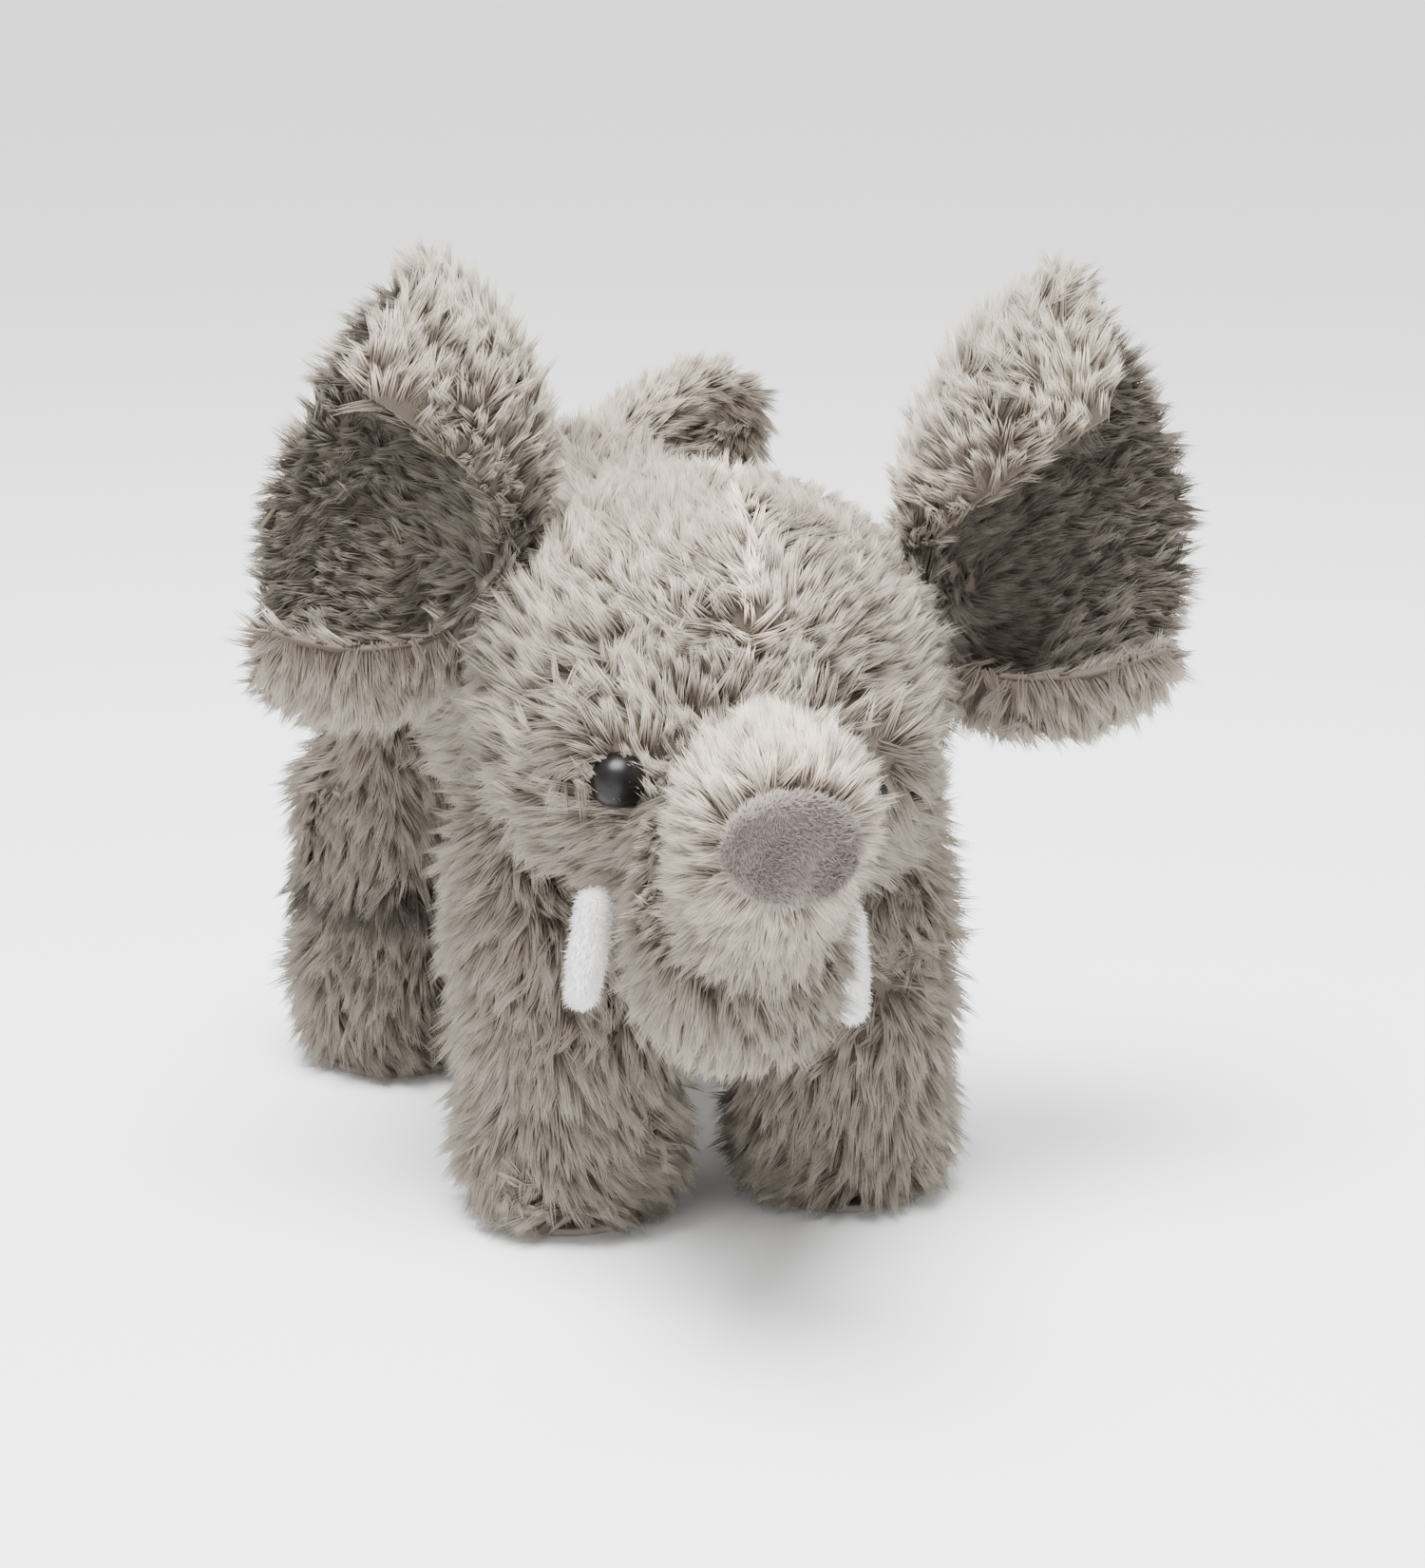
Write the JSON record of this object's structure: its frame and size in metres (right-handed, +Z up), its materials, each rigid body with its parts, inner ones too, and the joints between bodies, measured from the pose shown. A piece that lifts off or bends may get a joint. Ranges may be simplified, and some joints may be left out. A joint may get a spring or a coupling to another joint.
{
  "type": "stuffed elephant",
  "caption": "Standing shaggy grey stuffed elephant with big cupped ears, raised trunk, white tusks and a curled tail; its head, ears, trunk, tail and legs bend.",
  "frame": {"origin": "middle of the whole toy's box, at the floor", "axes": "+Z up, -Y towards the toy's front, +X towards its own left side"},
  "size_m": [0.1691, 0.2191, 0.1719],
  "materials": {
    "pile_grey": "shaggy taupe-grey plush pile, 8 to 10 mm long",
    "pile_dark": "shaggy plush pile, the same cloth where it lies in shade",
    "stuffing": "white fibre filling",
    "tusk_cloth": "white short-pile cloth",
    "pad_cloth": "pinkish grey-brown short-pile cloth",
    "eye_plastic": "gloss black",
    "washer_plastic": "plain"
  },
  "bodies": {
    "torso": {"torso_left_panel": "pile_grey", "torso_right_panel": "pile_grey", "belly_gusset": "pile_dark", "torso_fill": "stuffing"},
    "neck": {"neck_fill": "stuffing"},
    "head": {"head_left_panel": "pile_grey", "head_right_panel": "pile_grey", "head_fill": "stuffing", "eye_left": "eye_plastic", "eye_right": "eye_plastic", "eye_washer_left": "washer_plastic", "eye_washer_right": "washer_plastic", "tusk_left": "tusk_cloth", "tusk_right": "tusk_cloth"},
    "trunk": {"trunk_sleeve": "pile_grey", "trunk_fill": "stuffing"},
    "trunk_end": {"trunk_end_sleeve": "pile_grey", "trunk_end_fill": "stuffing", "trunk_end_pad": "pad_cloth"},
    "ear_left": {"ear_left_front": "pile_dark", "ear_left_back": "pile_grey"},
    "ear_right": {"ear_right_front": "pile_dark", "ear_right_back": "pile_grey"},
    "tail": {"tail_sleeve": "pile_grey", "tail_fill": "stuffing"},
    "leg_front_left": {"leg_front_left_sleeve": "pile_grey", "leg_front_left_fill": "stuffing", "leg_front_left_sole": "pile_dark"},
    "leg_front_right": {"leg_front_right_sleeve": "pile_grey", "leg_front_right_fill": "stuffing", "leg_front_right_sole": "pile_dark"},
    "leg_rear_left": {"leg_rear_left_sleeve": "pile_grey", "leg_rear_left_fill": "stuffing", "leg_rear_left_sole": "pile_dark"},
    "leg_rear_right": {"leg_rear_right_sleeve": "pile_grey", "leg_rear_right_fill": "stuffing", "leg_rear_right_sole": "pile_dark"}
  },
  "joints": [
    {"name": "head_turn", "type": "hinge", "parent": "torso", "child": "neck", "pos_m": [-0.01, -0.0135, 0.0985], "axis": [0, 0, 1], "range_deg": [-10, 15], "stiffness_Nm_per_rad": 0.4},
    {"name": "head_nod", "type": "hinge", "parent": "neck", "child": "head", "pos_m": [-0.01, -0.0135, 0.0985], "axis": [0.9848, -0.1384, -0.1045], "range_deg": [-8, 7], "stiffness_Nm_per_rad": 0.5},
    {"name": "trunk_lift", "type": "hinge", "parent": "head", "child": "trunk", "pos_m": [-0.01621, -0.04494, 0.08159], "axis": [-0.9848, 0.1384, 0.1045], "range_deg": [-6, 12], "stiffness_Nm_per_rad": 0.2},
    {"name": "trunk_curl", "type": "hinge", "parent": "trunk", "child": "trunk_end", "pos_m": [-0.02216, -0.06733, 0.06479], "axis": [0.9848, -0.1384, -0.1045], "range_deg": [-10, 20], "stiffness_Nm_per_rad": 0.08},
    {"name": "ear_left_fold", "type": "hinge", "parent": "head", "child": "ear_left", "pos_m": [0.03206, -0.01133, 0.10924], "axis": [-0.2411, -0.0497, 0.9692], "range_deg": [-10, 10], "stiffness_Nm_per_rad": 0.06},
    {"name": "ear_right_fold", "type": "hinge", "parent": "head", "child": "ear_right", "pos_m": [-0.04574, -0.0004, 0.11749], "axis": [0.3652, -0.224, 0.9036], "range_deg": [-10, 10], "stiffness_Nm_per_rad": 0.06},
    {"name": "tail_swing", "type": "hinge", "parent": "torso", "child": "tail", "pos_m": [-0.004, 0.0925, 0.1155], "axis": [0, 0, 1], "range_deg": [-20, 20], "stiffness_Nm_per_rad": 0.02},
    {"name": "leg_front_left_swing", "type": "hinge", "parent": "torso", "child": "leg_front_left", "pos_m": [0.0165, -0.0105, 0.038], "axis": [1, 0, 0], "range_deg": [-12, 12], "stiffness_Nm_per_rad": 1},
    {"name": "leg_front_right_swing", "type": "hinge", "parent": "torso", "child": "leg_front_right", "pos_m": [-0.034, -0.0065, 0.038], "axis": [1, 0, 0], "range_deg": [-12, 12], "stiffness_Nm_per_rad": 1},
    {"name": "leg_rear_left_swing", "type": "hinge", "parent": "torso", "child": "leg_rear_left", "pos_m": [0.026, 0.0845, 0.049], "axis": [1, 0, 0], "range_deg": [-12, 12], "stiffness_Nm_per_rad": 1},
    {"name": "leg_rear_right_swing", "type": "hinge", "parent": "torso", "child": "leg_rear_right", "pos_m": [-0.046, 0.0845, 0.049], "axis": [1, 0, 0], "range_deg": [-12, 12], "stiffness_Nm_per_rad": 1}
  ]
}
